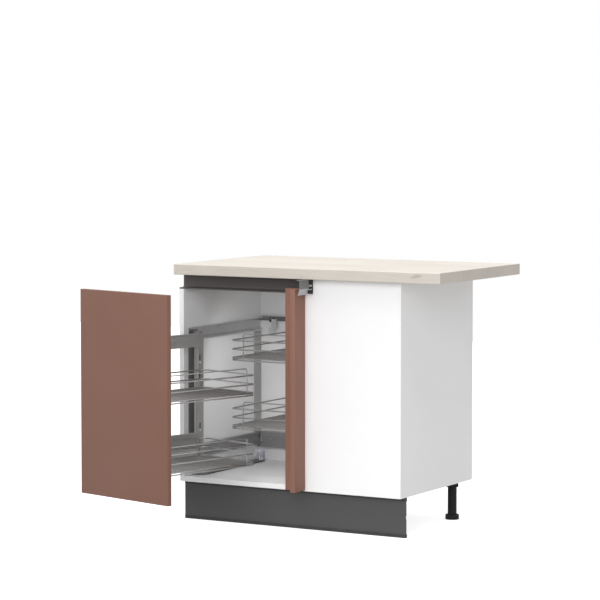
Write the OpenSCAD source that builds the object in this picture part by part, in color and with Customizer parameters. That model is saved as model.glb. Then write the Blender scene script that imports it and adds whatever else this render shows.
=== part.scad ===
// Blind-corner base cabinet with a coupled corner pull-out: a door and swing frame with two
// wire baskets comes out in front, and a rear frame with two more baskets follows sideways.
// Millimetres. X runs right from the left side panel, Y runs back from the carcass front,
// Z runs up from the underside of the carcass. Modelled open, as the photograph shows it.

/* [Carcass] */
// width over both side panels
carcass_w = 900; // [820:10:1200]
// depth of the side panels
carcass_d = 560; // [540:5:600]
// height of the side panels
carcass_h = 750; // [720:10:820]
// thickness of the melamine boards
board_t = 18; // [16:1:19]
// thickness of the back panel
back_t = 4; // [3:0.5:6]
// distance of the back panel from the rear edges
back_setback = 16; // [10:1:20]
// depth of the groove that holds the back panel
groove_d = 8; // [5:1:9]
// depth of the top stretchers
stretcher_d = 90; // [60:5:110]
// distance from the left side to the right edge of the door opening
opening_right = 452; // [440:1:470]

/* [Worktop] */
// thickness of the worktop
worktop_t = 38; // [28:1:40]
// overhang past the right side panel
worktop_right = 169; // [0:1:300]
// overhang in front of the carcass
worktop_front = 38; // [20:1:60]
// depth of the worktop from front to back
worktop_d = 634; // [600:1:680]
// radius of the front edge
worktop_r = 3; // [1:0.5:6]

/* [Legs and plinth] */
// height of the legs and of the plinth space
leg_h = 140; // [110:5:170]
// diameter of the leg tube
leg_tube_d = 33; // [25:1:34]
// diameter of the socket under the bottom panel
leg_socket_d = 49; // [40:1:60]
// height of the socket
leg_socket_h = 22; // [15:1:30]
// diameter of the foot
leg_foot_d = 50; // [40:1:60]
// height of the foot
leg_foot_h = 18; // [14:1:28]
// distance of the leg axes from the outer side faces
leg_inset_x = 49; // [40:1:80]
// distance of the rear leg axes from the carcass rear
leg_inset_y = 63; // [40:1:90]
// thickness of the plinth board
plinth_t = 12; // [10:1:16]
// distance of the plinth front behind the carcass front
plinth_setback = 34; // [30:1:60]
// height of the seal strips on the plinth edges
seal_h = 12; // [8:1:18]
// how far the seal strips stand out
seal_lip = 1.5; // [0.5:0.5:3]

/* [Grip profile] */
// height of the grip recess
grip_h = 53; // [40:1:60]
// depth of the grip recess from the carcass front
grip_d = 31; // [26:1:40]
// wall of the aluminium profile
grip_wall = 2; // [1.5:0.5:3]
// thickness of the rounded lower lip
grip_lip = 5; // [4:0.5:8]
// reach of the short return run in front of the carcass
grip_return = 93; // [60:1:120]
// height of the sloped foot of the return run
grip_foot_h = 19; // [12:1:24]
// how far that foot slopes in
grip_foot_in = 6; // [3:0.5:10]
// gap between the carcass front and the corner connector
grip_corner_gap = 9; // [4:1:12]
// length of the corner connector in front of the carcass
grip_plug = 20; // [12:1:26]

/* [Door and corner post] */
// thickness of the lacquered fronts
front_t = 19; // [16:1:22]
// gap around the fronts
front_gap = 3; // [2:0.5:4]
// gap between the closed door and the carcass
door_standoff = 1.5; // [1:0.5:3]
// width of the post board that lies along the front
post_a_w = 50; // [40:1:70]
// depth of the post board that points forward
post_b_d = 74; // [60:1:90]
// thickness of the post boards
post_t = 20; // [18:1:22]
// gap between the recess lip and the tops of the door and the post
front_top_gap = 21; // [12:1:30]

/* [Side channels and carriages] */
// height of the side channels
channel_h = 47; // [44:1:55]
// depth of the side channels from the panel
channel_d = 9; // [8:0.5:10]
// wall of the channels
channel_wall = 2; // [1.5:0.5:2.5]
// underside of the top channel above the bottom panel underside
channel_top_z = 508; // [480:1:560]
// underside of the bottom channel above the bottom panel underside
channel_low_z = 78; // [70:1:95]
// front end of the channels behind the carcass front
channel_y = 30; // [25:1:40]
// thickness of the flat uprights on the side panel
upright_t = 4.5; // [3:0.5:5]
// width of the front upright
upright_front_w = 34; // [25:1:40]
// width of the rear upright
upright_rear_w = 46; // [30:1:50]
// length of a carriage slider
slider_len = 70; // [50:5:80]
// running gap between moving pieces
run_gap = 0.3; // [0.3:0.1:0.5]
// diameter of the hinge pins
pin_d = 10; // [8:0.5:12]
// radial play of the hinge pins
pin_play = 0.05; // [0.03:0.01:0.08]
// how far a hinge pin reaches into the post
pin_len = 34; // [25:1:45]
// thickness of the carriage arms
arm_t = 6; // [5:0.5:7]

/* [Swing frame] */
// distance of the hinge axis from the outer face of the left side
hinge_x = 54; // [54:0.5:60]
// distance of the hinge axis behind the front when open
hinge_y = 47; // [44:1:52]
// swing of the frame when open, in degrees
swing = 15; // [10:1:15]
// width of the hinge post across the beams
post_w = 18; // [16:1:18]
// depth of the hinge post along the beams
post_d = 24; // [20:1:26]
// height of the beams
beam_h = 49; // [40:1:52]
// thickness of the beams
beam_t = 8; // [7:0.5:9]
// offset of the beams from the hinge axis
beam_x = 6; // [6:0.5:7]
// underside of the bottom beam above the bottom panel underside
beam_low_z = 128; // [128:1:134]
// underside of the top beam above the bottom panel underside
beam_top_z = 487; // [470:1:487]
// depth of the upright beside the door
door_upright_d = 12; // [10:1:16]

/* [Baskets] */
// diameter of the rim wires
rim_d = 5; // [4:0.5:6]
// diameter of the guard wires
guard_d = 4; // [3:0.5:5]
// diameter of the base wires
base_d = 3; // [2.5:0.25:3.5]
// number of base wires in a basket
base_wires = 20; // [10:1:24]
// corner radius of the rims
rim_r = 28; // [20:1:40]
// drop of the lower rim under the base
rim_drop = 8; // [6:1:9]
// height of the middle rim over the base
rim_mid = 31; // [25:1:36]
// height of the upper rim over the base
rim_up = 63; // [50:1:66]
// height of the raised guard over the base
guard_up = 89; // [80:1:89]
// distance of the guard's legs from the corners of a front basket
guard_inset_front = 46; // [39:1:80]
// distance of the guard's legs from the corners of a rear basket
guard_inset_rear = 58; // [39:1:80]
// width of the front baskets
front_w = 276; // [200:1:300]
// length of the front baskets
front_len = 470; // [380:1:472]
// room between the front baskets and the door
front_room = 25; // [20:1:60]
// left side of the front baskets from the hinge axis
front_x = 19; // [18:0.5:24]
// base of the lower front basket above the bottom panel underside
front_low_z = 94; // [90:1:96]
// base of the lower rear basket above the bottom panel underside
rear_low_z = 199; // [198:1:205]
// height from a lower basket to the upper one
basket_pitch = 247; // [230:1:255]
// width of the rear baskets
rear_w = 335; // [250:1:340]
// depth of the rear baskets
rear_len = 406; // [300:1:410]

/* [Rear frame] */
// left side of the rear baskets when open, from the left side of the carcass
rear_x = 150; // [140:1:180]
// travel of the rear frame from open to closed
rear_stroke = 375; // [300:1:376]
// depth of the rear frame's uprights
rear_upright_d = 10; // [8:1:12]
// width of the rear frame's uprights
rear_upright_w = 24; // [16:1:30]
// underside of the top back channel above the bottom panel underside
back_channel_z = 547; // [520:1:560]
// height of the top back channel
back_channel_h = 16; // [14:1:20]
// depth of the top back channel
back_channel_d = 18; // [16:1:20]
// underside of the bottom back runner above the bottom panel underside
back_runner_z = 66; // [60:1:80]
// height of the bottom back runner
back_runner_h = 59; // [40:1:62]
// depth of the bottom back runner
back_runner_d = 12; // [10:1:14]
// left end of the rear frame's top bar when open
bar_left = 70; // [70:1:100]

/* [Hidden] */
$fn = 48;
eps = 0.01;
inner_left = board_t;
inner_right = carcass_w - board_t;
back_face = carcass_d - back_setback - back_t;
carcass_top = carcass_h;
grip_z = carcass_top - grip_h;
floor_top = board_t;
front_top = grip_z + front_top_gap;
front_z = front_gap;
post_b_x = opening_right + post_a_w;
grip_corner = post_b_x + post_t + grip_d;
channel_end = back_face - 2;
channel_zs = [channel_top_z, channel_low_z];
leg_xs = [leg_inset_x, carcass_w - leg_inset_x];
leg_front_y = plinth_setback + plinth_t + leg_socket_d / 2 + 15;
leg_ys = [leg_front_y, carcass_d - leg_inset_y];
hinge_low = beam_low_z;
hinge_high = beam_top_z + beam_h;
arm_low_z = hinge_low - run_gap - arm_t;
arm_high_z = hinge_high + run_gap;
arm_r = pin_d / 2 + 3;
closed_y = front_len + front_room;
door_back = -closed_y - door_standoff;
door_left = front_gap / 2 - hinge_x;
door_w = opening_right - front_gap * 1.5;
door_upright_y = door_back + 6;
bracket_zs = [beam_low_z + 60, beam_top_z - 70];
bracket_h = 50;
bracket_w = 90;
front_basket_end = -(front_len - 3);
basket_zs = [front_low_z, front_low_z + basket_pitch];
rear_zs = [rear_low_z, rear_low_z + basket_pitch];
support_t = 3;
rear_back_y = back_face - back_channel_d - 6 - rear_upright_d;
rear_front_y = rear_back_y - 3 - rear_len;
bar_z = back_channel_z + 4;
bar_h = 11;
bar_right = rear_x + rear_w - 20;
roller_d = back_channel_h - 2 * channel_wall - 2 * run_gap;
roller_xs = [bar_left + 20, bar_right - 20];
rear_upright_xs = [rear_x + 40, rear_x + rear_w - 40 - rear_upright_w];

white = [0.93, 0.93, 0.94];
terracotta = [0.56, 0.39, 0.34];
anthracite = [0.27, 0.28, 0.29];
chrome = [0.62, 0.63, 0.65];
steel = [0.5, 0.5, 0.52];
black = [0.08, 0.08, 0.09];
oak = [0.84, 0.81, 0.76];

// A box between two corners.
module block(a, b) {
    translate(a) cube(b - a);
}

// A rod between two points that share two coordinates.
module rod_x(x0, x1, y, z, d) {
    translate([x0, y, z]) rotate([0, 90, 0]) cylinder(h = x1 - x0, d = d);
}

module rod_y(y0, y1, x, z, d) {
    translate([x, y1, z]) rotate([90, 0, 0]) cylinder(h = y1 - y0, d = d);
}

module rod_z(z0, z1, x, y, d) {
    translate([x, y, z0]) cylinder(h = z1 - z0, d = d);
}

// Puts what is drawn about the hinge axis, in the closed direction, where it is when open.
module swung() {
    translate([hinge_x, hinge_y, 0]) rotate([0, 0, -swing]) children();
}

module side_panel(x) {
    difference() {
        block([x, 0, 0], [x + board_t, carcass_d, carcass_top]);
        groove_x = x < carcass_w / 2 ? x + board_t - groove_d : x - eps;
        block([groove_x, back_face, -eps],
              [groove_x + groove_d + eps, back_face + back_t, carcass_top + eps]);
        children();
    }
}

module side_left() {
    color(white) side_panel(0)
        block([-eps, -eps, grip_z], [board_t + eps, grip_d, carcass_top + eps]);
}

module side_right() {
    color(white) side_panel(carcass_w - board_t);
}

module bottom_panel() {
    color(white) difference() {
        block([inner_left, 0, 0], [inner_right, carcass_d, floor_top]);
        block([inner_left - eps, back_face, floor_top - groove_d],
              [inner_right + eps, back_face + back_t, floor_top + eps]);
    }
}

module back_panel() {
    color(white)
        block([inner_left - groove_d, back_face, floor_top - groove_d],
              [inner_right + groove_d, back_face + back_t, carcass_top]);
}

module stretcher_front() {
    color(white)
        block([inner_left, grip_d, carcass_top - board_t],
              [inner_right, grip_d + stretcher_d, carcass_top]);
}

module stretcher_rear() {
    color(white)
        block([inner_left, back_face - stretcher_d, carcass_top - board_t],
              [inner_right, back_face, carcass_top]);
}

module blind_panel() {
    color(white) difference() {
        block([opening_right, 0, floor_top], [inner_right, board_t, carcass_top]);
        block([opening_right - eps, -eps, grip_z],
              [grip_corner, board_t + eps, carcass_top + eps]);
    }
}

// The long front edge is rounded over, top and bottom.
module worktop() {
    color(oak) translate([0, 0, carcass_top]) rotate([90, 0, 90])
        linear_extrude(height = carcass_w + worktop_right)
            union() {
                translate([worktop_r - worktop_front, 0])
                    square([worktop_d - worktop_r, worktop_t]);
                translate([-worktop_front, worktop_r])
                    square([worktop_r + 1, worktop_t - 2 * worktop_r]);
                for (z = [worktop_r, worktop_t - worktop_r])
                    translate([worktop_r - worktop_front, z]) circle(r = worktop_r);
            }
}

// The board has a shallow clip groove along its back.
module plinth_board() {
    y = plinth_setback;
    color(anthracite) translate([0, 0, -leg_h]) difference() {
        block([0, y, seal_lip], [carcass_w, y + plinth_t, leg_h - seal_lip]);
        block([-eps, y + plinth_t - 3, leg_h / 2 - 6],
              [carcass_w + eps, y + plinth_t + eps, leg_h / 2 + 6]);
    }
}

// A soft strip wraps the top edge of the board, and another the bottom edge.
module plinth_seals() {
    y = plinth_setback;
    color(black) translate([0, 0, -leg_h]) for (s = [[0, 1], [leg_h, -1]])
        difference() {
            block([0, y - 1, min(s[0], s[0] + s[1] * seal_h)],
                  [carcass_w + seal_lip, y + plinth_t + 1, max(s[0], s[0] + s[1] * seal_h)]);
            block([-eps, y, min(s[0] + s[1] * seal_lip, s[0] + s[1] * (seal_h + 1))],
                  [carcass_w, y + plinth_t, max(s[0] + s[1] * seal_lip, s[0] + s[1] * (seal_h + 1))]);
        }
}

// A clip grips each front leg tube and seats in the groove of the plinth.
module plinth_clips() {
    z = leg_h / 2;
    y0 = plinth_setback + plinth_t;
    color(black) translate([0, 0, -leg_h]) for (x = leg_xs)
        difference() {
            union() {
                block([x - 9, y0 - 3, z - 5.5], [x + 9, leg_front_y, z + 5.5]);
                rod_z(z - 5.5, z + 5.5, x, leg_front_y, leg_tube_d + 6);
            }
            rod_z(z - 6, z + 6, x, leg_front_y, leg_tube_d);
            block([x - leg_tube_d, leg_front_y + 4, z - 6],
                  [x + leg_tube_d, leg_front_y + leg_tube_d, z + 6]);
        }
}

module leg_sockets() {
    color(black) translate([0, 0, -leg_h]) for (x = leg_xs, y = leg_ys)
        difference() {
            union() {
                rod_z(leg_h - leg_socket_h, leg_h - 4, x, y, leg_socket_d - 6);
                rod_z(leg_h - 5, leg_h, x, y, leg_socket_d);
                for (a = [0:60:300])
                    translate([x, y, leg_h - leg_socket_h]) rotate([0, 0, a])
                        translate([0, -1.5, 0]) cube([leg_socket_d / 2 - 0.5, 3, leg_socket_h - 1]);
            }
            rod_z(leg_h - leg_socket_h - 1, leg_h - 4, x, y, leg_tube_d);
        }
}

module leg_tubes() {
    color(black) translate([0, 0, -leg_h]) for (x = leg_xs, y = leg_ys)
        difference() {
            rod_z(leg_foot_h - 6, leg_h - 4, x, y, leg_tube_d);
            rod_z(leg_foot_h - 7, leg_h - 3, x, y, leg_tube_d - 6);
        }
}

module leg_feet() {
    color(black) translate([0, 0, -leg_h]) for (x = leg_xs, y = leg_ys)
        difference() {
            union() {
                rod_z(0, leg_foot_h - 2, x, y, leg_foot_d);
                translate([x, y, leg_foot_h - 2])
                    cylinder(h = 2, d1 = leg_foot_d, d2 = leg_foot_d - 3);
                rod_z(leg_foot_h - 6, leg_foot_h + 14, x, y, leg_tube_d - 6);
            }
            difference() {
                rod_z(leg_foot_h - 6, leg_foot_h + 15, x, y, leg_tube_d);
                rod_z(leg_foot_h - 7, leg_foot_h + 16, x, y, leg_tube_d - 6);
            }
        }
}

// Section of the grip profile: back wall, top flange, and a lip with a rounded nose.
// Its front is on the left, and its origin is at the front of the recess, at the lip.
module grip_section() {
    lip_r = grip_lip / 2;
    difference() {
        union() {
            translate([grip_d - grip_wall, 0]) square([grip_wall, grip_h]);
            translate([grip_d - 14, grip_h - grip_wall]) square([14, grip_wall]);
            translate([lip_r, 0]) square([grip_d - lip_r, grip_lip]);
            translate([lip_r, lip_r]) circle(r = lip_r);
            translate([grip_d - grip_wall - 8, grip_lip - 1]) square([9, 9]);
        }
        translate([grip_d - grip_wall - 8, grip_lip + 8]) circle(r = 8);
        translate([grip_d - 16, grip_wall]) square([16 - grip_wall, grip_lip - 2 * grip_wall + 0.2]);
    }
}

module grip_main() {
    color(anthracite) translate([0, 0, grip_z]) rotate([90, 0, 90])
        linear_extrude(height = grip_corner - grip_wall) grip_section();
}

// The return run faces the neighbouring cabinet and shows its ribbed back. Its foot slopes in
// and ends in a bead, with no lip, so that it clears the post.
module grip_return_section() {
    x = grip_d - grip_wall;
    bead_r = grip_wall;
    union() {
        translate([x, grip_foot_h]) square([grip_wall, grip_h - grip_foot_h]);
        translate([grip_d - 14, grip_h - grip_wall]) square([14, grip_wall]);
        polygon([[x, grip_foot_h + 1], [grip_d, grip_foot_h + 1], [grip_d, grip_foot_h],
                 [grip_d - grip_foot_in, bead_r], [x - grip_foot_in, bead_r],
                 [x, grip_foot_h]]);
        translate([x - grip_foot_in + bead_r / 2, bead_r]) circle(r = bead_r);
        for (z = [0.15, 0.45, 0.75])
            translate([grip_d - eps, grip_foot_h + z * (grip_h - grip_foot_h)]) square([1 + eps, 3]);
    }
}

module grip_return_run() {
    start = grip_corner_gap + grip_plug;
    color(chrome) translate([grip_corner - grip_d, -start, grip_z]) rotate([90, 0, 0])
        linear_extrude(height = grip_return - start) grip_return_section();
}

// Three plugs on a spine close the corner, and a tongue reaches into the main run.
module grip_connector() {
    x = grip_corner;
    y0 = -grip_corner_gap - grip_plug;
    y1 = -grip_corner_gap;
    color(black) union() {
        for (z = [[0.11, 0.30], [0.36, 0.52], [0.63, 0.98]])
            block([x - 9, y0, grip_z + z[0] * grip_h], [x + 2, y1, grip_z + z[1] * grip_h]);
        block([x - 8, y0, grip_z + 0.11 * grip_h], [x - 5, y1, grip_z + 0.98 * grip_h]);
        block([x - 14, y1 - 4, grip_z + 0.36 * grip_h],
              [x - grip_wall, grip_d - grip_wall - run_gap, grip_z + 0.42 * grip_h]);
    }
}

module post_board_a() {
    color(terracotta)
        block([opening_right, -post_t, front_z], [post_b_x, 0, front_top - 2]);
}

module post_board_b() {
    color(terracotta)
        block([post_b_x, -post_b_d, front_z], [post_b_x + post_t, 0, front_top - 2]);
}

// A channel on the side panel, open to the right, with turned-in lips.
module side_channel(z) {
    w = channel_wall;
    x = inner_left;
    difference() {
        block([x, channel_y, z], [x + channel_d, channel_end, z + channel_h]);
        block([x + w, channel_y - eps, z + w],
              [x + channel_d - w, channel_end + eps, z + channel_h - w]);
        block([x + channel_d - w - eps, channel_y - eps, z + w + 6],
              [x + channel_d + eps, channel_end + eps, z + channel_h - w - 6]);
    }
}

module channel_top() {
    color(chrome) side_channel(channel_zs[0]);
}

module channel_bottom() {
    color(chrome) side_channel(channel_zs[1]);
}

module upright_front() {
    x = inner_left;
    color(black)
        block([x, channel_y, channel_zs[1] + channel_h],
              [x + upright_t, channel_y + upright_front_w, channel_zs[0]]);
}

module upright_rear() {
    x = inner_left;
    color(steel)
        block([x, channel_end - upright_rear_w, channel_zs[1] + channel_h],
              [x + upright_t, channel_end, channel_zs[0]]);
}

// A bright angle stands on the bottom panel in the corner and carries the bottom channel.
module corner_foot() {
    x = inner_left;
    y0 = channel_end - upright_rear_w;
    color(chrome) union() {
        block([x, y0, floor_top], [x + 3, channel_end, channel_zs[1]]);
        block([x, y0, floor_top], [x + 36, channel_end, floor_top + 3]);
        for (y = [y0, channel_end - 3])
            block([x, y, floor_top], [x + 22, y + 3, floor_top + 34]);
    }
}

// The top back channel is open to the front, so that the rollers' axles pass.
module back_channel() {
    w = channel_wall;
    z = back_channel_z;
    x0 = inner_left + channel_d + 1;
    color(black) difference() {
        block([x0, back_face - back_channel_d, z], [inner_right, back_face, z + back_channel_h]);
        block([x0 - eps, back_face - back_channel_d - eps, z + w],
              [inner_right - w, back_face - w, z + back_channel_h - w]);
    }
}

// The bottom back runner has a track groove along its front for the guide shoes.
module back_runner() {
    z = back_runner_z;
    x0 = inner_left + channel_d + 1;
    y0 = back_face - back_runner_d;
    color(anthracite) difference() {
        block([x0, y0, z], [inner_right, back_face, z + back_runner_h]);
        block([x0 - eps, y0 + 3, z + back_runner_h - 12],
              [inner_right + eps, y0 + back_runner_d - 3, z + back_runner_h + eps]);
        block([x0 - eps, y0 - eps, z + 10], [inner_right + eps, y0 + 2, z + back_runner_h - 18]);
    }
}

// Pan-head screws inside the side channels.
module channel_screws() {
    x = inner_left + channel_wall;
    color(steel) for (z = channel_zs, y = [channel_y + 40, channel_end - 12])
        translate([x, y, z + channel_h / 2]) rotate([0, 90, 0])
            difference() {
                cylinder(h = 1.6, d1 = 8, d2 = 5);
                translate([-3, -0.4, 1]) cube([6, 0.8, 1]);
            }
}

// A slider inside a channel, with a plate that comes out of it and an arm to the hinge axis.
module carriage(z, arm_z) {
    w = channel_wall + run_gap;
    x = inner_left;
    y0 = hinge_y - slider_len / 2;
    y1 = hinge_y + slider_len / 2;
    plate_x = x + channel_d + run_gap;
    plate_end = hinge_y + arm_r + 10;
    zlo = min(arm_z, z + w + 8);
    zhi = max(arm_z + arm_t, z + channel_h - w - 8);
    difference() {
        union() {
            block([x + w + 1.7, y0 + 20, z + w], [x + channel_d - w, y1, z + channel_h - w]);
            block([x + channel_d - w - 1, y0 + 24, z + w + 6.5],
                  [plate_x + 1, plate_end - 2, z + channel_h - w - 6.5]);
            block([plate_x, y0 + 20, zlo], [plate_x + 3, plate_end, zhi]);
            block([plate_x, hinge_y - arm_r, arm_z], [hinge_x, hinge_y + arm_r, arm_z + arm_t]);
            rod_z(arm_z, arm_z + arm_t, hinge_x, hinge_y, 2 * arm_r);
        }
        rod_z(arm_z - 1, arm_z + arm_t + 1, hinge_x, hinge_y, pin_d);
    }
}

module carriage_top() {
    color(steel) carriage(channel_zs[0], arm_high_z);
}

module carriage_bottom() {
    color(steel) carriage(channel_zs[1], arm_low_z);
}

// The pins are pressed into the carriage arms and reach into the ends of the hinge post.
module hinge_pins() {
    color(chrome) {
        rod_z(arm_high_z - pin_len, arm_high_z + arm_t, hinge_x, hinge_y, pin_d);
        rod_z(arm_low_z, arm_low_z + arm_t + pin_len, hinge_x, hinge_y, pin_d);
    }
}

// The post is a square tube with a bored plug at each end and slots in its right face.
module hinge_post() {
    color(steel) swung() difference() {
        block([-post_w / 2, -post_d / 2, hinge_low], [post_w / 2, post_d / 2, hinge_high]);
        rod_z(hinge_low - 1, hinge_low + pin_len + 2, 0, 0, pin_d + 2 * pin_play);
        rod_z(hinge_high - pin_len - 2, hinge_high + 1, 0, 0, pin_d + 2 * pin_play);
        block([-post_w / 2 + 2, -post_d / 2 + 2, hinge_low + pin_len + 6],
              [post_w / 2 - 2, post_d / 2 - 2, hinge_high - pin_len - 6]);
        for (z = basket_zs, dz = [38, 98])
            block([post_w / 2 - 3, -post_d / 2 + 3, z + dz],
                  [post_w / 2 + 1, -post_d / 2 + 9, z + dz + 17]);
    }
}

// A beam of folded sheet: a lip along the top and a shallow rib along its right face.
module beam(z) {
    y0 = door_upright_y;
    block([beam_x, y0, z], [beam_x + beam_t - 2, -post_d / 2 + 4, z + beam_h]);
    block([beam_x, y0, z + beam_h - 5], [beam_x + beam_t, -post_d / 2, z + beam_h]);
    block([beam_x, y0, z], [beam_x + beam_t, -post_d / 2, z + 5]);
    block([beam_x, y0, z + beam_h * 0.45], [beam_x + beam_t - 1, -post_d / 2, z + beam_h * 0.7]);
}

module beam_cut() {
    difference() {
        children();
        block([-post_w / 2, -post_d / 2, 0], [post_w / 2, post_d / 2, carcass_top]);
    }
}

module beam_top() {
    color(steel) swung() beam_cut() beam(beam_top_z);
}

module beam_bottom() {
    color(steel) swung() beam_cut() beam(beam_low_z);
}

// The upright beside the door ties the beams together in front.
module door_upright() {
    z0 = basket_zs[0] - rim_drop - rim_d / 2 - run_gap - support_t;
    color(steel) swung() difference() {
        block([beam_x - 2, door_back + 1, z0 - 4],
              [beam_x + beam_t, door_upright_y + door_upright_d, hinge_high]);
        for (z = [beam_low_z, beam_top_z])
            block([beam_x, door_upright_y, z], [beam_x + beam_t + 1, 0, z + beam_h]);
    }
}

// Two angle brackets carry the door on the front upright.
module door_brackets() {
    x = beam_x + beam_t;
    color(steel) swung() for (z = bracket_zs)
        union() {
            block([x, door_back, z], [x + bracket_w, door_back + 3, z + bracket_h]);
            block([x, door_back, z], [x + 3, door_back + 18, z + bracket_h]);
        }
}

module door_screws() {
    x0 = beam_x + beam_t;
    color(chrome) swung() for (z = bracket_zs, x = [bracket_w / 3, bracket_w - 15],
                               dz = [12, bracket_h - 12])
        rod_y(door_back + 3, door_back + 5.5, x0 + x, z + dz, 8);
}

module door() {
    color(terracotta) swung()
        block([door_left, door_back - front_t, front_z], [door_left + door_w, door_back, front_top]);
}

// Shelves under the lower rims: at the hinge post and at the front upright.
module basket_supports() {
    color(steel) swung() for (z = basket_zs) {
        top = z - rim_drop - rim_d / 2 - run_gap;
        union() {
            block([post_w / 2, -10, top - support_t], [front_x + 40, 10, top]);
            block([post_w / 2, -10, top - support_t], [post_w / 2 + 3, 10, top + 40]);
        }
        block([beam_x + beam_t, door_upright_y, top - support_t],
              [front_x + 40, door_upright_y + 36, top]);
    }
}

module hook_screws() {
    color(chrome) swung() for (z = basket_zs)
        translate([post_w / 2, -post_d / 2 + 8, z + guard_up])
            rotate([0, 90, 0]) cylinder(h = 3, d1 = 8, d2 = 5);
}

// A rounded rectangular ring of round wire, its corner nearest the origin at [0, 0].
module rim(w, l, d) {
    r = rim_r;
    for (y = [d / 2, l - d / 2]) rod_x(r, w - r, y, 0, d);
    for (x = [d / 2, w - d / 2]) rod_y(r, l - r, x, 0, d);
    for (c = [[r, r, 180], [w - r, r, 270], [w - r, l - r, 0], [r, l - r, 90]])
        translate([c[0], c[1], 0]) rotate([0, 0, c[2]])
            rotate_extrude(angle = 90) translate([r - d / 2, 0]) circle(d = d);
}

// A guard bends up from the lower rim, runs along a side that lies along X, and comes down.
module guard(len, y, inset) {
    bend = 10;
    d = guard_d;
    for (x = [inset, len - inset])
        rod_z(-rim_drop, guard_up - bend, x, y, d);
    rod_x(inset + bend, len - inset - bend, y, guard_up, d);
    for (s = [[inset + bend, 180], [len - inset - bend, 90]])
        translate([s[0], y, guard_up - bend]) rotate([90, 0, 0])
            mirror([0, 0, 1]) rotate([0, 0, s[1] - 90]) rotate_extrude(angle = 90)
                translate([bend, 0]) circle(d = d);
}

// A wire basket: four rims, base wires along X on two cross wires, a guard on the side that
// faces the user and two short uprights on the side across from it.
module basket(w, l, inset, near) {
    far = l - near;
    union() {
        for (z = [-rim_drop, 0, rim_mid, rim_up]) translate([0, 0, z]) rim(w, l, rim_d);
        for (i = [1:base_wires]) {
            y = i * l / (base_wires + 1);
            edge = max(0, rim_r - min(y, l - y));
            end = rim_r - sqrt(max(0, rim_r * rim_r - edge * edge)) + rim_d / 2;
            rod_x(end, w - end, y, 0, base_d);
        }
        for (x = [w * 0.25, w * 0.75]) rod_y(rim_d / 2, l - rim_d / 2, x, -base_d * 0.7, guard_d);
        guard(w, near, inset);
        for (x = [rim_r + 4, w - inset]) rod_z(-rim_drop, rim_up, x, far, guard_d);
    }
}

// The front baskets lie along the beams, with their guards on the right.
module front_basket(z) {
    swung() translate([front_x, front_basket_end + front_len, z]) rotate([0, 0, -90])
        basket(front_len, front_w, guard_inset_front, front_w - rim_d / 2);
}

module basket_front_lower() {
    color(chrome) front_basket(basket_zs[0]);
}

module basket_front_upper() {
    color(chrome) front_basket(basket_zs[1]);
}

// The top bar of the rear frame runs in front of the top back channel.
module rear_bar() {
    y = back_face - back_channel_d - run_gap;
    color(black) difference() {
        block([bar_left, y - 5.7, bar_z], [bar_right, y, bar_z + bar_h]);
        for (x = roller_xs) rod_y(y - 7, y + 1, x, back_channel_z + back_channel_h / 2, 6);
    }
}

// Rollers on axles that pass through the bar into the channel.
module rear_rollers() {
    y = back_face - back_channel_d - run_gap;
    z = back_channel_z + back_channel_h / 2;
    color(black) for (x = roller_xs) union() {
        rod_y(y - 5.7, y + 6, x, z, 6);
        rod_y(y + 3, y + 12, x, z, roller_d);
    }
}

// A stepped hanger at the left end of the bar.
module rear_hanger() {
    y = back_face - back_channel_d - run_gap - 5.7;
    color(chrome) union() {
        block([bar_left + 11, y - 2, bar_z - 31], [bar_left + 34, y, bar_z + 3]);
        block([bar_left, y - 2, bar_z - 58], [bar_left + 26, y, bar_z - 29]);
    }
}

module rear_uprights() {
    y1 = back_face - back_channel_d - 6;
    z0 = back_runner_z + back_runner_h + 2;
    color(steel) for (x = rear_upright_xs)
        difference() {
            block([x, y1 - rear_upright_d, z0], [x + rear_upright_w, y1, bar_z + bar_h]);
            block([x + 2, y1 - rear_upright_d + 2, z0 + 12],
                  [x + rear_upright_w - 2, y1 + eps, bar_z - 12]);
        }
}

// Shoes under the uprights run in the groove of the bottom back runner.
module rear_shoes() {
    y0 = back_face - back_runner_d;
    z = back_runner_z + back_runner_h;
    y1 = back_face - back_channel_d - 6;
    color(black) for (x = rear_upright_xs)
        union() {
            block([x, y1 - rear_upright_d, z + run_gap], [x + rear_upright_w, y0 + back_runner_d - 4, z + 2]);
            block([x, y0 + 3 + run_gap, z - 10], [x + rear_upright_w, y0 + back_runner_d - 3 - run_gap, z + 1]);
        }
}

module rear_supports() {
    y1 = rear_back_y;
    color(steel) for (z = rear_zs, x = rear_upright_xs) {
        top = z - rim_drop - rim_d / 2 - run_gap;
        union() {
            block([x + 4, y1 - 60, top - support_t], [x + rear_upright_w - 4, y1, top]);
            block([x + 4, y1 - support_t, top - 30], [x + rear_upright_w - 4, y1, top]);
        }
    }
}

module rear_basket(z) {
    translate([rear_x, rear_front_y, z])
        basket(rear_w, rear_len, guard_inset_rear, rim_d / 2);
}

module basket_rear_lower() {
    color(chrome) rear_basket(rear_zs[0]);
}

module basket_rear_upper() {
    color(chrome) rear_basket(rear_zs[1]);
}

side_left();
side_right();
bottom_panel();
back_panel();
stretcher_front();
stretcher_rear();
blind_panel();
worktop();
plinth_board();
plinth_seals();
plinth_clips();
leg_sockets();
leg_tubes();
leg_feet();
grip_main();
grip_return_run();
grip_connector();
post_board_a();
post_board_b();
channel_top();
channel_bottom();
upright_front();
upright_rear();
corner_foot();
back_channel();
back_runner();
channel_screws();
carriage_top();
carriage_bottom();
hinge_pins();
hinge_post();
beam_top();
beam_bottom();
door_upright();
door_brackets();
door_screws();
door();
basket_supports();
hook_screws();
basket_front_lower();
basket_front_upper();
rear_bar();
rear_rollers();
rear_hanger();
rear_uprights();
rear_shoes();
rear_supports();
basket_rear_lower();
basket_rear_upper();
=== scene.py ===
import math

import bmesh
import bpy
from mathutils import Matrix, Vector


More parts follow.
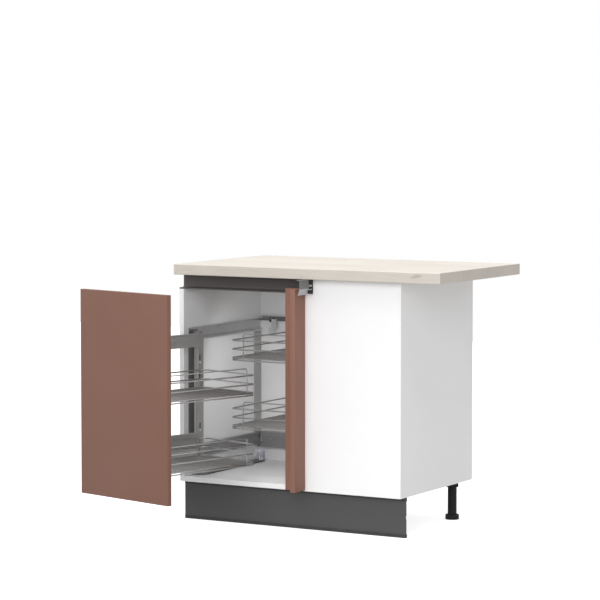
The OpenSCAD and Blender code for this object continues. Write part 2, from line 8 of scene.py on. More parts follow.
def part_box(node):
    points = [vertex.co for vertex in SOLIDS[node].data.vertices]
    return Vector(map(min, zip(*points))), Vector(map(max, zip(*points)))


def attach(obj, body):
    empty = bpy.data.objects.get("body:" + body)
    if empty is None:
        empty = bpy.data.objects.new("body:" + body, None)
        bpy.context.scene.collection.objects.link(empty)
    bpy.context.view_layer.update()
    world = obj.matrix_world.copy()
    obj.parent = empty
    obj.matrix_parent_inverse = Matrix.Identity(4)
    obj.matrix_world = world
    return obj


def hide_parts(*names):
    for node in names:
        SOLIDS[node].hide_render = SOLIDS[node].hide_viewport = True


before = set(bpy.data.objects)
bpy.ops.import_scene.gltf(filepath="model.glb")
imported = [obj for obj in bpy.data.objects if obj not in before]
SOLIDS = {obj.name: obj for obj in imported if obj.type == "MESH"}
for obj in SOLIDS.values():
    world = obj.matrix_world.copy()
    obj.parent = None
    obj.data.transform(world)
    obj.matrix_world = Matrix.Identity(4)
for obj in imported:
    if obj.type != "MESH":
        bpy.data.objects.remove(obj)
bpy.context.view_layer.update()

# Corner base cabinet with a pull-out front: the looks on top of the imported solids.
# Metres. X runs right, Y runs back, Z runs up from the underside of the carcass.

# Places that part.scad fixes. OPEN_FRAME takes what is drawn square to the closed door to
# the place where the swing frame stands at rest.
FLOOR_Z = -0.140
HINGE = Vector((0.054, 0.047, 0.0))
SWING = math.radians(15)
OPEN_FRAME = Matrix.Translation(HINGE) @ Matrix.Rotation(-SWING, 4, "Z")
RUNNER_SCREW_XS = (0.070, 0.360, 0.610, 0.850)
RUNNER_SCREW_Z = 0.0985

# Up to this angle between two faces the shading runs on.
SMOOTH_ANGLE = math.radians(35)
# How far a cutter reaches past what it cuts.
SPARE = 0.001


# Handling of pieces

def deselect():
    bpy.ops.object.select_all(action="DESELECT")


def pick(piece):
    deselect()
    piece.select_set(True)
    bpy.context.view_layer.objects.active = piece


def named(name):
    """Names the piece that was made last."""
    piece = bpy.context.object
    piece.name = piece.data.name = name
    return piece


def settle(piece, turn=None):
    """Puts a piece in its place and keeps that place in its mesh."""
    pick(piece)
    if turn is not None:
        piece.matrix_world = turn @ piece.matrix_world
    bpy.ops.object.transform_apply(location=True, rotation=True, scale=True)
    return piece


def edit(piece, choose=None):
    """Opens edit mode with the faces that choose() accepts selected, or with all of them."""
    pick(piece)
    bpy.ops.object.mode_set(mode="EDIT")
    bpy.ops.mesh.select_mode(type="FACE")
    bpy.ops.mesh.select_all(action="SELECT" if choose is None else "DESELECT")
    if choose is not None:
        mesh = bmesh.from_edit_mesh(piece.data)
        for face in mesh.faces:
            face.select_set(choose(face))
        bmesh.update_edit_mesh(piece.data)


def smooth(piece):
    pick(piece)
    bpy.ops.object.shade_smooth_by_angle(angle=SMOOTH_ANGLE)


def close_edit(piece):
    bpy.ops.object.mode_set(mode="OBJECT")
    smooth(piece)


def board(name, low, high, ease, steps=3):
    """A board between two corners, with its edges eased."""
    low, high = Vector(low), Vector(high)
    bpy.ops.mesh.primitive_cube_add(size=1, location=(low + high) / 2)
    piece = named(name)
    piece.scale = high - low
    settle(piece)
    edit(piece)
    bpy.ops.mesh.bevel(offset=ease, segments=steps, affect="EDGES")
    close_edit(piece)
    return piece


def rod(name, radius, length, sides=32, ease=0.0):
    """A rod that stands on the origin, with both ends eased."""
    bpy.ops.mesh.primitive_cylinder_add(
        vertices=sides, radius=radius, depth=length, location=(0, 0, length / 2))
    piece = settle(named(name))
    if ease:
        edit(piece, lambda face: abs(face.normal.z) > 0.9)
        bpy.ops.mesh.region_to_loop()
        bpy.ops.mesh.bevel(offset=ease, segments=3, affect="EDGES")
        close_edit(piece)
    return piece


def carve(piece, cutter):
    """Cuts the cutter's shape out of a piece; the cutter goes."""
    pick(piece)
    cut = piece.modifiers.new("carve", "BOOLEAN")
    cut.object = cutter
    cut.solver = "EXACT"
    bpy.ops.object.modifier_apply(modifier=cut.name)
    bpy.data.objects.remove(cutter)


def join(name, pieces):
    pick(pieces[0])
    for piece in pieces:
        piece.select_set(True)
    if len(pieces) > 1:
        bpy.ops.object.join()
    return named(name)


def copies(model, name, places):
    """Copies a model to each place, joined into one piece; the model itself goes."""
    made = []
    for place in places:
        copy = model.copy()
        copy.data = model.data.copy()
        bpy.context.scene.collection.objects.link(copy)
        copy.matrix_world = place
        made.append(settle(copy))
    bpy.data.objects.remove(model)
    return join(name, made)


def facing(direction, point):
    """A place at a point, with its Z axis along the direction."""
    turn = Vector(direction).to_track_quat("Z", "Y").to_matrix().to_4x4()
    return Matrix.Translation(Vector(point)) @ turn


# Building blocks of the finishes

# ShaderNodeMix has one set of sockets for each kind of value. These are the colour ones.
MIX_FACTOR, MIX_FIRST, MIX_SECOND, MIX_RESULT = 0, 6, 7, 2


def tree_of(material):
    return material.node_tree.nodes, material.node_tree.links


def shader_of(material):
    return material.node_tree.nodes["Principled BSDF"]


def finish(name, colour, rough, metal=0.0, specular=0.5):
    material = bpy.data.materials.new(name)
    material.use_nodes = True
    shader = shader_of(material)
    shader.inputs["Base Color"].default_value = (*colour, 1.0)
    shader.inputs["Roughness"].default_value = rough
    shader.inputs["Metallic"].default_value = metal
    shader.inputs["Specular IOR Level"].default_value = specular
    return material


def mapped(material, scale=(1, 1, 1), location=(0, 0, 0)):
    """The piece's own space, scaled and moved."""
    nodes, links = tree_of(material)
    space = nodes.new("ShaderNodeTexCoord")
    mapping = nodes.new("ShaderNodeMapping")
    mapping.inputs["Scale"].default_value = scale
    mapping.inputs["Location"].default_value = location
    links.new(space.outputs["Object"], mapping.inputs["Vector"])
    return mapping.outputs["Vector"]


def height_of(material, vector):
    """The Z part of a vector."""
    nodes, links = tree_of(material)
    parts = nodes.new("ShaderNodeSeparateXYZ")
    links.new(vector, parts.inputs["Vector"])
    return parts.outputs["Z"]


def grain(material, scale, stretch=(1, 1, 1), detail=3.0, roughness=0.5, distortion=0.0):
    """A noise in the piece's own space, stretched along an axis."""
    nodes, links = tree_of(material)
    noise = nodes.new("ShaderNodeTexNoise")
    for socket, value in (("Scale", scale), ("Detail", detail), ("Roughness", roughness),
                          ("Distortion", distortion)):
        noise.inputs[socket].default_value = value
    links.new(mapped(material, stretch), noise.inputs["Vector"])
    return noise.outputs["Fac"]


def ramp(material, factor, stops):
    """Turns a factor into colours, by stops of a position and a colour."""
    nodes, links = tree_of(material)
    made = nodes.new("ShaderNodeValToRGB")
    band = made.color_ramp
    band.elements[0].position, band.elements[0].color = stops[0][0], (*stops[0][1], 1)
    band.elements[1].position, band.elements[1].color = stops[-1][0], (*stops[-1][1], 1)
    for at, colour in stops[1:-1]:
        band.elements.new(at).color = (*colour, 1)
    links.new(factor, made.inputs["Fac"])
    return made.outputs["Color"]


def span(material, factor, low, high, start=0.3, stop=0.7):
    """Runs from low to high while the factor runs from start to stop."""
    nodes, links = tree_of(material)
    made = nodes.new("ShaderNodeMapRange")
    for socket, value in (("From Min", start), ("From Max", stop),
                          ("To Min", low), ("To Max", high)):
        made.inputs[socket].default_value = value
    links.new(factor, made.inputs["Value"])
    return made.outputs["Result"]


def blended(material, factor, first, second, kind="MIX"):
    """Mixes two colours. The factor and both colours may be values or sockets."""
    nodes, links = tree_of(material)
    made = nodes.new("ShaderNodeMix")
    made.data_type, made.blend_type = "RGBA", kind
    for index, value in ((MIX_FACTOR, factor), (MIX_FIRST, first), (MIX_SECOND, second)):
        socket = made.inputs[index]
        if isinstance(value, bpy.types.NodeSocket):
            links.new(value, socket)
        elif isinstance(value, (int, float)):
            socket.default_value = value
        else:
            socket.default_value = (*value, 1)
    return made.outputs[MIX_RESULT]


def soft_spot(material, centre, radii):
    """A soft spot about a point, 1 in its middle and 0 at its edge."""
    core = 0.15
    nodes, links = tree_of(material)
    far = nodes.new("ShaderNodeVectorMath")
    far.operation = "LENGTH"
    squashed = mapped(material, [1 / r for r in radii], [-c / r for c, r in zip(centre, radii)])
    links.new(squashed, far.inputs[0])
    return span(material, far.outputs["Value"], 1.0, 0.0, core, 1.0)


def tinted(colour, share):
    return tuple(min(1.0, c * share) for c in colour)


def colour_by(material, colour):
    material.node_tree.links.new(colour, shader_of(material).inputs["Base Color"])


def shade_by(material, factor, colour, low, high, start=0.3, stop=0.7):
    """Lets the colour run from one share of itself to another."""
    stops = [(start, tinted(colour, low)), (stop, tinted(colour, high))]
    colour_by(material, ramp(material, factor, stops))


def rough_by(material, factor, low, high):
    rough = span(material, factor, low, high)
    material.node_tree.links.new(rough, shader_of(material).inputs["Roughness"])


def relief(material, height, depth, strength):
    nodes, links = tree_of(material)
    bump = nodes.new("ShaderNodeBump")
    bump.inputs["Distance"].default_value = depth
    bump.inputs["Strength"].default_value = strength
    links.new(height, bump.inputs["Height"])
    links.new(bump.outputs["Normal"], shader_of(material).inputs["Normal"])


# Kinds of finish. Roughness runs about the given value, and colour about the given colour.

def melamine(name, colour):
    material = finish(name, colour, 0.42, specular=0.4)
    pearl = grain(material, 700, detail=2)
    shade_by(material, grain(material, 6, detail=2), colour, 0.985, 1.0)
    rough_by(material, pearl, 0.38, 0.5)
    relief(material, pearl, 0.00012, 0.25)
    return material


def lacquer(name, colour):
    material = finish(name, colour, 0.5, specular=0.2)
    skin = grain(material, 420, detail=3)
    shade_by(material, grain(material, 4, detail=2), colour, 0.97, 1.03)
    rough_by(material, skin, 0.46, 0.56)
    relief(material, skin, 0.0001, 0.3)
    return material


def brushed(name, colour, rough, metal, stretch, depth=0.00006):
    material = finish(name, colour, rough, metal)
    lines = grain(material, 60, stretch, detail=4)
    shade_by(material, lines, colour, 0.9, 1.08, 0.25, 0.75)
    rough_by(material, lines, rough - 0.06, rough + 0.08)
    relief(material, lines, depth, 0.5)
    return material


def powder_coat(name, colour, rough, metal):
    material = finish(name, colour, rough, metal)
    peel = grain(material, 500, detail=2)
    shade_by(material, grain(material, 12, detail=3), colour, 0.94, 1.05)
    rough_by(material, peel, rough - 0.05, rough + 0.07)
    relief(material, peel, 0.00015, 0.35)
    return material


def zinc(name, colour, rough, metal=1.0):
    material = finish(name, colour, rough, metal)
    flow = grain(material, 35, detail=5, distortion=0.8)
    stops = [(0.3, tinted(colour, 0.92)), (0.5, colour), (0.7, tinted(colour, 1.06))]
    colour_by(material, ramp(material, flow, stops))
    rough_by(material, flow, rough - 0.08, rough + 0.1)
    relief(material, grain(material, 300, detail=2), 0.00008, 0.3)
    return material


def wire_chrome(name, colour, rough):
    material = finish(name, colour, rough, 1.0)
    film = grain(material, 90, detail=3)
    shade_by(material, film, colour, 0.88, 1.1)
    rough_by(material, film, rough - 0.06, rough + 0.08)
    return material


def moulded(name, colour, rough, specular=0.45):
    material = finish(name, colour, rough, specular=specular)
    spark = grain(material, 900, detail=2)
    shade_by(material, grain(material, 20, detail=2), colour, 0.85, 1.2)
    rough_by(material, spark, rough - 0.07, rough + 0.07)
    relief(material, spark, 0.0001, 0.35)
    return material


def paint_highlight_below(material, height, colour):
    """Paints what lies under a height a lighter tone: a painted highlight."""
    blur = 0.0008
    space = material.node_tree.nodes.new("ShaderNodeTexCoord")
    level = height_of(material, space.outputs["Object"])
    share = span(material, level, 1.0, 0.0, height - blur, height + blur)
    tone = shader_of(material).inputs["Base Color"].links[0].from_socket
    colour_by(material, blended(material, share, tone, colour))


# The worktop decor

# Staves: the sockets of a brick texture, and where the pattern starts.
STAVES = {
    "Scale": 1.0, "Mortar Size": 0.0006, "Mortar Smooth": 0.4, "Bias": 0.0,
    "Brick Width": 0.56, "Row Height": 0.095,
    "Color1": (0.71, 0.665, 0.605, 1), "Color2": (0.585, 0.54, 0.49, 1),
    "Mortar": (0.52, 0.475, 0.42, 1),
}
STAVE_START = (0.358, 0.052, 0)
STAVE_STAGGER = 0.37

STREAK_TONES = [(0.3, (0.56, 0.515, 0.455)), (0.5, (0.66, 0.615, 0.55)),
                (0.7, (0.73, 0.69, 0.63))]
CLOUD_TONES = [(0.35, (0.60, 0.56, 0.50)), (0.65, (0.72, 0.665, 0.60))]
STREAK_SHARE, CLOUD_SHARE = 0.55, 0.35

# Pin knots: the scale, stretch and start of their pattern, their size, strength and colour.
PIN_KNOT_SCALE, PIN_KNOT_STRETCH, PIN_KNOT_START = 3.1, (0.7, 1.5, 1.5), (0.21, 0.4, 0.1)
PIN_KNOT_SIZE, PIN_KNOT_SHARE = 0.06, 0.5
PIN_KNOT_TONE = (0.42, 0.35, 0.28)

# Single knots: centre, radii and colour.
KNOT_SHARE = 0.6
KNOTS = [
    ((0.983, -0.038, 0.776), (0.024, 0.02, 0.007), (0.34, 0.27, 0.20)),
    ((0.968, -0.038, 0.770), (0.018, 0.02, 0.005), (0.42, 0.35, 0.27)),
    ((0.216, 0.495, 0.788), (0.050, 0.022, 0.01), (0.56, 0.50, 0.42)),
    ((0.613, 0.160, 0.788), (0.070, 0.016, 0.01), (0.58, 0.53, 0.46)),
    ((0.870, 0.330, 0.788), (0.040, 0.018, 0.01), (0.57, 0.51, 0.43)),
]

# Upright faces, the edges of the top, are painted a shade darker than the top: painted shade.
EDGE_PAINTED_SHADE = (0.872, 0.862, 0.858)


def stave_tones(material):
    nodes, links = tree_of(material)
    staves = nodes.new("ShaderNodeTexBrick")
    staves.offset, staves.offset_frequency = STAVE_STAGGER, 2
    for socket, value in STAVES.items():
        staves.inputs[socket].default_value = value
    links.new(mapped(material, location=STAVE_START), staves.inputs["Vector"])
    return staves.outputs["Color"]


def pin_knots(material):
    """Small knots, thinly strewn."""
    nodes, links = tree_of(material)
    cells = nodes.new("ShaderNodeTexVoronoi")
    cells.inputs["Scale"].default_value = PIN_KNOT_SCALE
    links.new(mapped(material, PIN_KNOT_STRETCH, PIN_KNOT_START), cells.inputs["Vector"])
    return span(material, cells.outputs["Distance"], PIN_KNOT_SHARE, 0.0, 0.0, PIN_KNOT_SIZE)


def on_edges(material):
    """1 on upright faces and 0 on level ones: where the painted edge shade goes."""
    upright, level = 0.4, 0.9
    lie = material.node_tree.nodes.new("ShaderNodeNewGeometry")
    slope = height_of(material, lie.outputs["Normal"])
    return span(material, slope, 1.0, 0.0, upright, level)


def pale_oak(name):
    """Bleached oak decor in staves, with a fine grain and a few knots."""
    material = finish(name, (0.66, 0.62, 0.56), 0.5, specular=0.3)
    streaks = grain(material, 9, (1.2, 14, 14), detail=6, roughness=0.6, distortion=0.6)
    fine = grain(material, 40, (1.5, 30, 30), detail=4, roughness=0.6)
    clouds = grain(material, 2.2, (1, 2.2, 2.2), detail=3)
    tone = blended(material, STREAK_SHARE, stave_tones(material),
                   ramp(material, streaks, STREAK_TONES))
    tone = blended(material, CLOUD_SHARE, tone, ramp(material, clouds, CLOUD_TONES))
    tone = blended(material, pin_knots(material), tone, PIN_KNOT_TONE)
    for centre, radii, colour in KNOTS:
        share = span(material, soft_spot(material, centre, radii), 0.0, KNOT_SHARE, 0.0, 1.0)
        tone = blended(material, share, tone, colour)
    # Painted shade: upright faces are painted darker than the top.
    darker = blended(material, 1.0, tone, EDGE_PAINTED_SHADE, "MULTIPLY")
    colour_by(material, blended(material, on_edges(material), tone, darker))
    rough_by(material, streaks, 0.46, 0.58)
    relief(material, fine, 0.00015, 0.35)
    return material


# The finishes

# Stretches of the brushing lines: they run along the axis with the small value.
ALONG_X, ALONG_Y, ALL_WAYS = (0.6, 30, 30), (30, 0.6, 30), (30, 30, 30)

# Under this height the grip return shows its foot, which catches more light. That light is
# painted
# into its colour as a lighter tone: a painted highlight.
RETURN_FOOT_Z = 0.7185

WHITE = melamine("white_melamine", (0.90, 0.90, 0.905))
BACK_WHITE = melamine("white_back_sheet", (0.86, 0.86, 0.865))
OAK = pale_oak("pale_oak_worktop")
TERRACOTTA = lacquer("terracotta_lacquer", (0.203, 0.1045, 0.0775))
# Painted light: a lighter copy of the door's lacquer for the post boards, which makes up for the
# shade the swung door casts on them.
POST_TERRACOTTA_LIT = lacquer("terracotta_post_painted_light", (0.252, 0.129, 0.096))
ANTHRACITE = brushed("anthracite_anodised", (0.085, 0.078, 0.076), 0.5, 0.2, ALONG_X)
PLINTH = brushed("plinth_foil", (0.065, 0.065, 0.065), 0.6, 0.0, (0.5, 30, 30), 0.00008)
RUBBER = moulded("seal_rubber", (0.035, 0.035, 0.036), 0.65)
BLACK = moulded("black_moulding", (0.010, 0.010, 0.0105), 0.5, 0.2)
MILL = brushed("mill_aluminium", (0.22, 0.22, 0.22), 0.42, 0.7, ALONG_Y)
# Painted highlight: the foot of the grip return is painted lighter than the rest of it.
paint_highlight_below(MILL, RETURN_FOOT_Z, (0.44, 0.445, 0.46))
CUT_MILL = brushed("cut_aluminium", (0.50, 0.50, 0.505), 0.35, 0.5, ALL_WAYS)
ZINC = zinc("zinc_plate", (0.74, 0.74, 0.75), 0.45)
# Painted shade: a darker, rougher copy of the zinc plate for the carriages. The darker tone
# stands in for shade.
SHADED_ZINC = zinc("zinc_painted_shade", (0.28, 0.28, 0.29), 0.5)
BRIGHT = zinc("bright_zinc", (0.75, 0.75, 0.77), 0.25)
SHINY = zinc("shiny_zinc", (0.88, 0.88, 0.93), 0.22, 0.88)
DARK_STEEL = powder_coat("dark_coat", (0.15, 0.149, 0.15), 0.5, 0.1)
RUNNER_GREY = powder_coat("runner_coat", (0.33, 0.33, 0.335), 0.45, 0.2)
RAIL_GREY = powder_coat("rail_coat", (0.20, 0.20, 0.202), 0.5, 0.1)
# Painted light: a lighter copy of the grey coat for the beam skirt, which makes up for the shade
# it lies in behind the lower basket.
LIT_GREY_STEEL = powder_coat("grey_coat_painted_light", (0.66, 0.655, 0.65), 0.42, 0.2)
GREY_STEEL = powder_coat("grey_coat", (0.42, 0.415, 0.41), 0.42, 0.35)
CHROME = wire_chrome("wire_chrome", (0.44, 0.435, 0.43), 0.38)
NYLON = moulded("black_nylon", (0.02, 0.02, 0.021), 0.35)

FINISHES = {
    WHITE: ["side_left", "side_right", "bottom_panel", "stretcher_front", "stretcher_rear",
            "blind_panel"],
    BACK_WHITE: ["back_panel"],
    OAK: ["worktop"],
    PLINTH: ["plinth_board"],
    RUBBER: ["plinth_seals"],
    BLACK: ["plinth_clips", "leg_sockets", "leg_tubes", "leg_feet", "grip_connector"],
    ANTHRACITE: ["grip_main"],
    MILL: ["grip_return_run"],
    TERRACOTTA: ["door"],
    POST_TERRACOTTA_LIT: ["post_board_a", "post_board_b"],
    ZINC: ["channel_top", "door_brackets", "rear_hanger"],
    SHADED_ZINC: ["carriage_top", "carriage_bottom"],
    SHINY: ["corner_foot"],
    BRIGHT: ["channel_screws", "hinge_pins", "door_screws", "hook_screws"],
    DARK_STEEL: ["upright_front", "rear_bar"],
    RUNNER_GREY: ["back_runner", "back_channel", "channel_bottom"],
    GREY_STEEL: ["upright_rear", "hinge_post", "beam_top", "beam_bottom", "door_upright",
                 "basket_supports", "rear_uprights", "rear_supports"],
    CHROME: ["basket_front_lower", "basket_front_upper", "basket_rear_lower",
             "basket_rear_upper"],
    NYLON: ["rear_rollers", "rear_shoes"],
}


def dress(piece, material):
    piece.data.materials.clear()
    piece.data.materials.append(material)


for material, names in FINISHES.items():
    for name in names:
        dress(SOLIDS[name], material)

# Boards and folded metal keep their solids, with their edges eased.
EASED = {
    0.0006: ["side_left", "side_right", "bottom_panel", "stretcher_front", "stretcher_rear",
             "blind_panel", "worktop", "plinth_board", "beam_top", "beam_bottom", "hinge_post",
             "upright_front", "upright_rear", "door_upright", "rear_uprights"],
    0.0003: ["channel_top", "channel_bottom", "back_channel", "back_runner", "rear_bar",
             "carriage_top", "carriage_bottom", "door_brackets", "grip_return_run",
             "corner_foot"],
}
WELD_DISTANCE = 0.00002
EASED_FROM, EASE_STEPS = math.radians(40), 2

for ease, names in EASED.items():
    for name in names:
        solid = SOLIDS[name]
        weld = solid.modifiers.new("weld", "WELD")
        weld.merge_threshold = WELD_DISTANCE
        bevel = solid.modifiers.new("ease", "BEVEL")
        bevel.width = ease
        bevel.segments = EASE_STEPS
        bevel.limit_method = "ANGLE"
        bevel.angle_limit = EASED_FROM


# Pieces that the scene adds

def fitted(piece, material, slot, body, *stands_for):
    dress(piece, material)
    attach(piece, body)
    if stands_for:
        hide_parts(*stands_for)


def from_swing(node):
    """The node's corners as the closed door has them, square to the axes."""
    back = OPEN_FRAME.inverted()
    spots = [back @ v.co for v in SOLIDS[node].data.vertices]
    low = Vector([min(s[i] for s in spots) for i in range(3)])
    high = Vector([max(s[i] for s in spots) for i in range(3)])
    return low, high


FRONT_EASE = 0.0012


def fronts():
    """The door and the two boards of the corner post, with finely rounded edges."""
    low, high = from_swing("door")
    leaf = settle(board("door_leaf", low, high, FRONT_EASE), OPEN_FRAME)
    fitted(leaf, TERRACOTTA, "terracotta", "swing_frame", "door")
    # The post boards take the lighter copy of the lacquer: painted light.
    for name, node in (("post_front_leaf", "post_board_a"), ("post_side_leaf", "post_board_b")):
        leaf = board(name, *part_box(node), FRONT_EASE)
        fitted(leaf, POST_TERRACOTTA_LIT, "terracotta", "cabinet", node)


# A pan head: its rounding and its cross recess, as shares of its height and its radius.
HEAD_ROUNDING = 0.35
RECESS_FLOOR, RECESS_TOP = 0.45, 1.2
RECESS_REACH, RECESS_HALF_WIDTH = 0.55, 0.11
RECESS_EASE = 0.00004
# Radius and height of the heads.
RUNNER_SCREW, RAIL_SCREW = (0.0042, 0.0018), (0.0036, 0.0014)


def screw(radius, height):
    """A pan-head screw that stands on the origin, with a cross recess."""
    head = rod("screw_head", radius, height, ease=height * HEAD_ROUNDING)
    reach, half_width = radius * RECESS_REACH, radius * RECESS_HALF_WIDTH
    floor, top = height * RECESS_FLOOR, height * RECESS_TOP
    for x, y in ((reach, half_width), (half_width, reach)):
        carve(head, board("slot", (-x, -y, floor), (x, y, top), RECESS_EASE, 1))
    return head


# The screws of the runner stand this deep in the groove of its front face.
RUNNER_GROOVE = 0.0019
# The rubber stop, and how far its middle lies under the bar.
STOP_RADIUS, STOP_LENGTH, STOP_EASE, STOP_DROP = 0.0048, 0.006, 0.0008, 0.0044


def small_parts():
    """Screws of the bottom back runner and the rubber stop of the rear bar."""
    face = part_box("back_runner")[0][1]
    spots = [(x, face + RUNNER_GROOVE, RUNNER_SCREW_Z) for x in RUNNER_SCREW_XS]
    screws = copies(screw(*RUNNER_SCREW), "runner_screws",
                    [facing((0, -1, 0), spot) for spot in spots])
    fitted(screws, BRIGHT, "zinc_steel", "cabinet")
    low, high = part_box("rear_bar")
    spot = (low[0] + STOP_RADIUS, high[1], low[2] - STOP_DROP)
    stop = copies(rod("stop", STOP_RADIUS, STOP_LENGTH, ease=STOP_EASE), "rear_bar_stop",
                  [facing((0, -1, 0), spot)])
    fitted(stop, NYLON, "nylon_black", "rear_frame")


# The rail on the floor: the corners of its strip, the round of its front corner, the lip
# along its right edge, the rib along its middle and the places of its screws. What lies
# across the strip is measured from its left edge.
RAIL_LOW, RAIL_HIGH = Vector((0.0183, 0.048, 0.018)), Vector((0.068, 0.490, 0.0222))
RAIL_ROUND = 0.030
RAIL_EASE, RIB_EASE = 0.0012, 0.0008
LIP_WIDTH, LIP_RISE = 0.0035, 0.0035
RIB_LEFT, RIB_RIGHT, RIB_RISE, RIB_START = 0.016, 0.0185, 0.0022, 0.01
RAIL_SCREW_X = 0.028
RAIL_SCREW_YS = (0.085, 0.27, 0.455)
RAIL_SCREW_SUNK = 0.0001
# The cutter of the round: the height of its block, and the rod that is taken out of it.
BLOCK_TOP, BLOCK_EASE = 0.021, 0.0002
ROUND_LENGTH, ROUND_DROP, ROUND_SIDES = 0.03, 0.004, 64


def corner_cutter():
    """What a rounded corner leaves over, with the middle of its round at (0, RAIL_ROUND)."""
    corner = board("corner_block", (0, -SPARE, -SPARE),
                   (RAIL_ROUND + SPARE, RAIL_ROUND, BLOCK_TOP), BLOCK_EASE, 1)
    kept = rod("round", RAIL_ROUND, ROUND_LENGTH, ROUND_SIDES)
    carve(corner, settle(kept, Matrix.Translation((0, RAIL_ROUND, -ROUND_DROP))))
    return corner


def floor_rail():
    """The guide rail on the cabinet floor, beside the left wall, with a lip and screws."""
    low, high = RAIL_LOW, RAIL_HIGH
    strip = board("strip", low, high, RAIL_EASE)
    place = Matrix.Translation((high.x - RAIL_ROUND, low.y, low.z - SPARE))
    carve(strip, settle(corner_cutter(), place))
    lip = board("lip", (high.x - LIP_WIDTH, low.y + RAIL_ROUND - SPARE, low.z),
                (high.x, high.y, high.z + LIP_RISE), RAIL_EASE)
    rib = board("rib", (low.x + RIB_LEFT, low.y + RIB_START, high.z - SPARE),
                (low.x + RIB_RIGHT, high.y, high.z + RIB_RISE), RIB_EASE)
    rail = join("floor_rail", [strip, lip, rib])
    smooth(rail)
    fitted(rail, RAIL_GREY, "dark_steel", "cabinet")
    spots = [(low.x + RAIL_SCREW_X, y, high.z - RAIL_SCREW_SUNK) for y in RAIL_SCREW_YS]
    screws = copies(screw(*RAIL_SCREW), "rail_screws",
                    [facing((0, 0, 1), spot) for spot in spots])
    fitted(screws, BRIGHT, "zinc_steel", "cabinet")


# The strip under the bottom beam, square to the closed door.
SKIRT_X, SKIRT_FOLD_X, SKIRT_SHEET = 0.0062, 0.0135, 0.0016
SKIRT_YS, SKIRT_ZS = (-0.4785, -0.0135), (0.0925, 0.1279)
SKIRT_EASE = 0.0004


def beam_skirt():
    """The folded strip under the bottom beam, which closes the gap down to the lower basket."""
    (front, back), (low, high) = SKIRT_YS, SKIRT_ZS
    plate = board("plate", (SKIRT_X, front, low),
                  (SKIRT_X + SKIRT_SHEET, back, high), SKIRT_EASE)
    fold = board("fold", (SKIRT_X, front, low),
                 (SKIRT_FOLD_X, back, low + SKIRT_SHEET), SKIRT_EASE)
    skirt = settle(join("beam_skirt", [plate, fold]), OPEN_FRAME)
    # The skirt takes the lighter copy of the grey coat: painted light.
    fitted(skirt, LIT_GREY_STEEL, "grey_steel", "swing_frame")


# The ribs between the plugs of the grip corner.
RIB_XS, RIB_YS = (0.5481, 0.5544), (-0.0288, -0.0092)
RIB_HEIGHTS = ((0.7131, 0.7158), (0.7248, 0.7302))
CUT_EASE = 0.0003


def grip_corner_ribs():
    """The cut ends of the grip profile, which show between the plugs of its corner."""
    ribs = [board("rib", (RIB_XS[0], RIB_YS[0], low), (RIB_XS[1], RIB_YS[1], high), CUT_EASE)
            for low, high in RIB_HEIGHTS]
    fitted(join("grip_corner_ribs", ribs), CUT_MILL, "mill_aluminium", "cabinet")


# The black sheets that paint the shade in the slots of the hinge post, square to the closed
# door:
# depth, half width and ease of all, and for each its middle in Y and its two ends in Z.
SLOT_XS, SLOT_HALF_WIDTH, SLOT_EASE = (0.0088, 0.00925), 0.0022, 0.0001
SLOTS = ((-0.0052, 0.191, 0.211), (-0.0052, 0.4375, 0.4575), (-0.0062, 0.372, 0.388))


def hook_slot_shade():
    """Black sheets that paint the shade inside the key slots of the hinge post over its hook
    screws, and one by the upper basket: painted shade.
    """
    slots = [board("slot", (SLOT_XS[0], y - SLOT_HALF_WIDTH, low),
                   (SLOT_XS[1], y + SLOT_HALF_WIDTH, high), SLOT_EASE, 1)
             for y, low, high in SLOTS]
    piece = settle(join("hook_slot_shade", slots), OPEN_FRAME)
    fitted(piece, NYLON, "nylon_black", "swing_frame")


fronts()
small_parts()
floor_rail()
beam_skirt()
grip_corner_ribs()
hook_slot_shade()


# Light and view

# The floor: its size, its depth under the feet, the grey that takes the shadow, and how
# bright it looks from the camera and in glossy pieces.
STUDIO_SIZE, STUDIO_GAP = 14, 0.0006
STUDIO_GREY, STUDIO_GLOW, STUDIO_MIRRORED = 0.55, 0.78, 0.97
# What the surroundings light the object with. They look white themselves.
AMBIENT = 0.51

# Name, direction towards the sun, strength and spread in degrees.
SUNS = (
    ("front_key", (0.12, -0.85, 0.33), 1.1, 40),
    ("top_light", (-0.05, -0.15, 1.0), 1.95, 50),
)
# Name, place, direction of the light, width, height and watts.
PANELS = (
    ("front_panel", (3.4, -5.2, 2.9), (-0.54, 1.0, -0.42), 2.3, 2.3, 63.0),
    ("cabinet_fill", (0.30, 0.12, 0.42), (-0.13, 1.0, -0.52), 0.36, 0.38, 0.61),
)

# The camera that was fitted to the photograph.
CAMERA_PLACE = (5.0531, -7.9267, 1.3514)
CAMERA_DOWN, CAMERA_TURN = math.radians(3.578), math.radians(29.870)
SENSOR_MM, LENS_MM, CAMERA_SHIFT = 36.0, 156.79, -0.05
CLIP_NEAR, CLIP_FAR = 0.1, 100


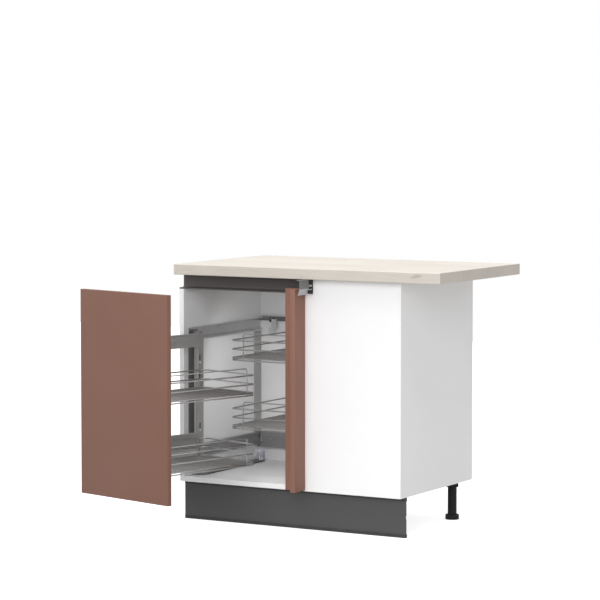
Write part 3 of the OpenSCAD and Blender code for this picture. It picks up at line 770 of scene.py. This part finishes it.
def backdrop():
    """A floor that takes shadows and looks white."""
    bpy.ops.mesh.primitive_grid_add(x_subdivisions=4, y_subdivisions=4, size=STUDIO_SIZE,
                                    location=(0.5, 0, FLOOR_Z - STUDIO_GAP))
    floor = settle(bpy.context.object)
    floor.name = "studio_floor"
    material = bpy.data.materials.new("studio_white")
    material.use_nodes = True
    nodes, links = tree_of(material)
    nodes.clear()
    out = nodes.new("ShaderNodeOutputMaterial")
    matt = nodes.new("ShaderNodeBsdfDiffuse")
    matt.inputs["Color"].default_value = (STUDIO_GREY, STUDIO_GREY, STUDIO_GREY, 1)
    glow = nodes.new("ShaderNodeEmission")
    glow.inputs["Color"].default_value = (1, 1, 1, 1)
    rays = nodes.new("ShaderNodeLightPath")
    level = nodes.new("ShaderNodeMath")
    level.operation = "MULTIPLY"
    level.inputs[1].default_value = STUDIO_GLOW
    links.new(rays.outputs["Is Camera Ray"], level.inputs[0])
    links.new(level.outputs[0], glow.inputs["Strength"])
    both = nodes.new("ShaderNodeAddShader")
    links.new(matt.outputs[0], both.inputs[0])
    links.new(glow.outputs[0], both.inputs[1])
    mirrored = nodes.new("ShaderNodeEmission")
    mirrored.inputs["Strength"].default_value = STUDIO_MIRRORED
    shown = nodes.new("ShaderNodeMixShader")
    links.new(rays.outputs["Is Glossy Ray"], shown.inputs[0])
    links.new(both.outputs[0], shown.inputs[1])
    links.new(mirrored.outputs[0], shown.inputs[2])
    links.new(shown.outputs[0], out.inputs["Surface"])
    floor.data.materials.append(material)


def surroundings(level):
    """White to the camera and in mirrors, and no more than the level as a light."""
    world = bpy.data.worlds.new("studio")
    bpy.context.scene.world = world
    world.use_nodes = True
    nodes, links = tree_of(world)
    glow = nodes["Background"]
    glow.inputs["Color"].default_value = (1, 1, 1, 1)
    rays = nodes.new("ShaderNodeLightPath")
    seen = rays.outputs["Is Camera Ray"]
    for kind in ("Is Glossy Ray", "Is Transmission Ray"):
        either = nodes.new("ShaderNodeMath")
        either.operation = "MAXIMUM"
        links.new(seen, either.inputs[0])
        links.new(rays.outputs[kind], either.inputs[1])
        seen = either.outputs[0]
    strength = nodes.new("ShaderNodeMapRange")
    strength.inputs["To Min"].default_value = level
    strength.inputs["To Max"].default_value = 1.0
    links.new(seen, strength.inputs["Value"])
    links.new(strength.outputs["Result"], glow.inputs["Strength"])


def sun(name, towards, strength, spread):
    bpy.ops.object.light_add(type="SUN", location=towards)
    lamp = bpy.context.object
    lamp.name = name
    lamp.data.energy = strength
    lamp.data.angle = math.radians(spread)
    lamp.rotation_euler = Vector(towards).to_track_quat("Z", "Y").to_euler()


def panel_lamp(name, place, towards, width, height, power):
    """A soft panel that shines along a direction and doesn't show in glossy pieces."""
    bpy.ops.object.light_add(type="AREA", location=place)
    lamp = bpy.context.object
    lamp.name = name
    lamp.data.shape = "RECTANGLE"
    lamp.data.size, lamp.data.size_y = width, height
    lamp.data.energy = power
    lamp.visible_glossy = False
    lamp.rotation_euler = (-Vector(towards)).to_track_quat("Z", "Y").to_euler()


def camera():
    level = math.radians(90)
    bpy.ops.object.camera_add(location=CAMERA_PLACE,
                              rotation=(level - CAMERA_DOWN, 0, CAMERA_TURN))
    eye = bpy.context.object
    eye.name = "photo_camera"
    eye.data.sensor_width = SENSOR_MM
    eye.data.lens = LENS_MM
    eye.data.shift_y = CAMERA_SHIFT
    eye.data.clip_start, eye.data.clip_end = CLIP_NEAR, CLIP_FAR
    bpy.context.scene.camera = eye


backdrop()
surroundings(AMBIENT)
for values in SUNS:
    sun(*values)
for values in PANELS:
    panel_lamp(*values)
camera()
bpy.context.scene.view_settings.view_transform = "Standard"

deselect()
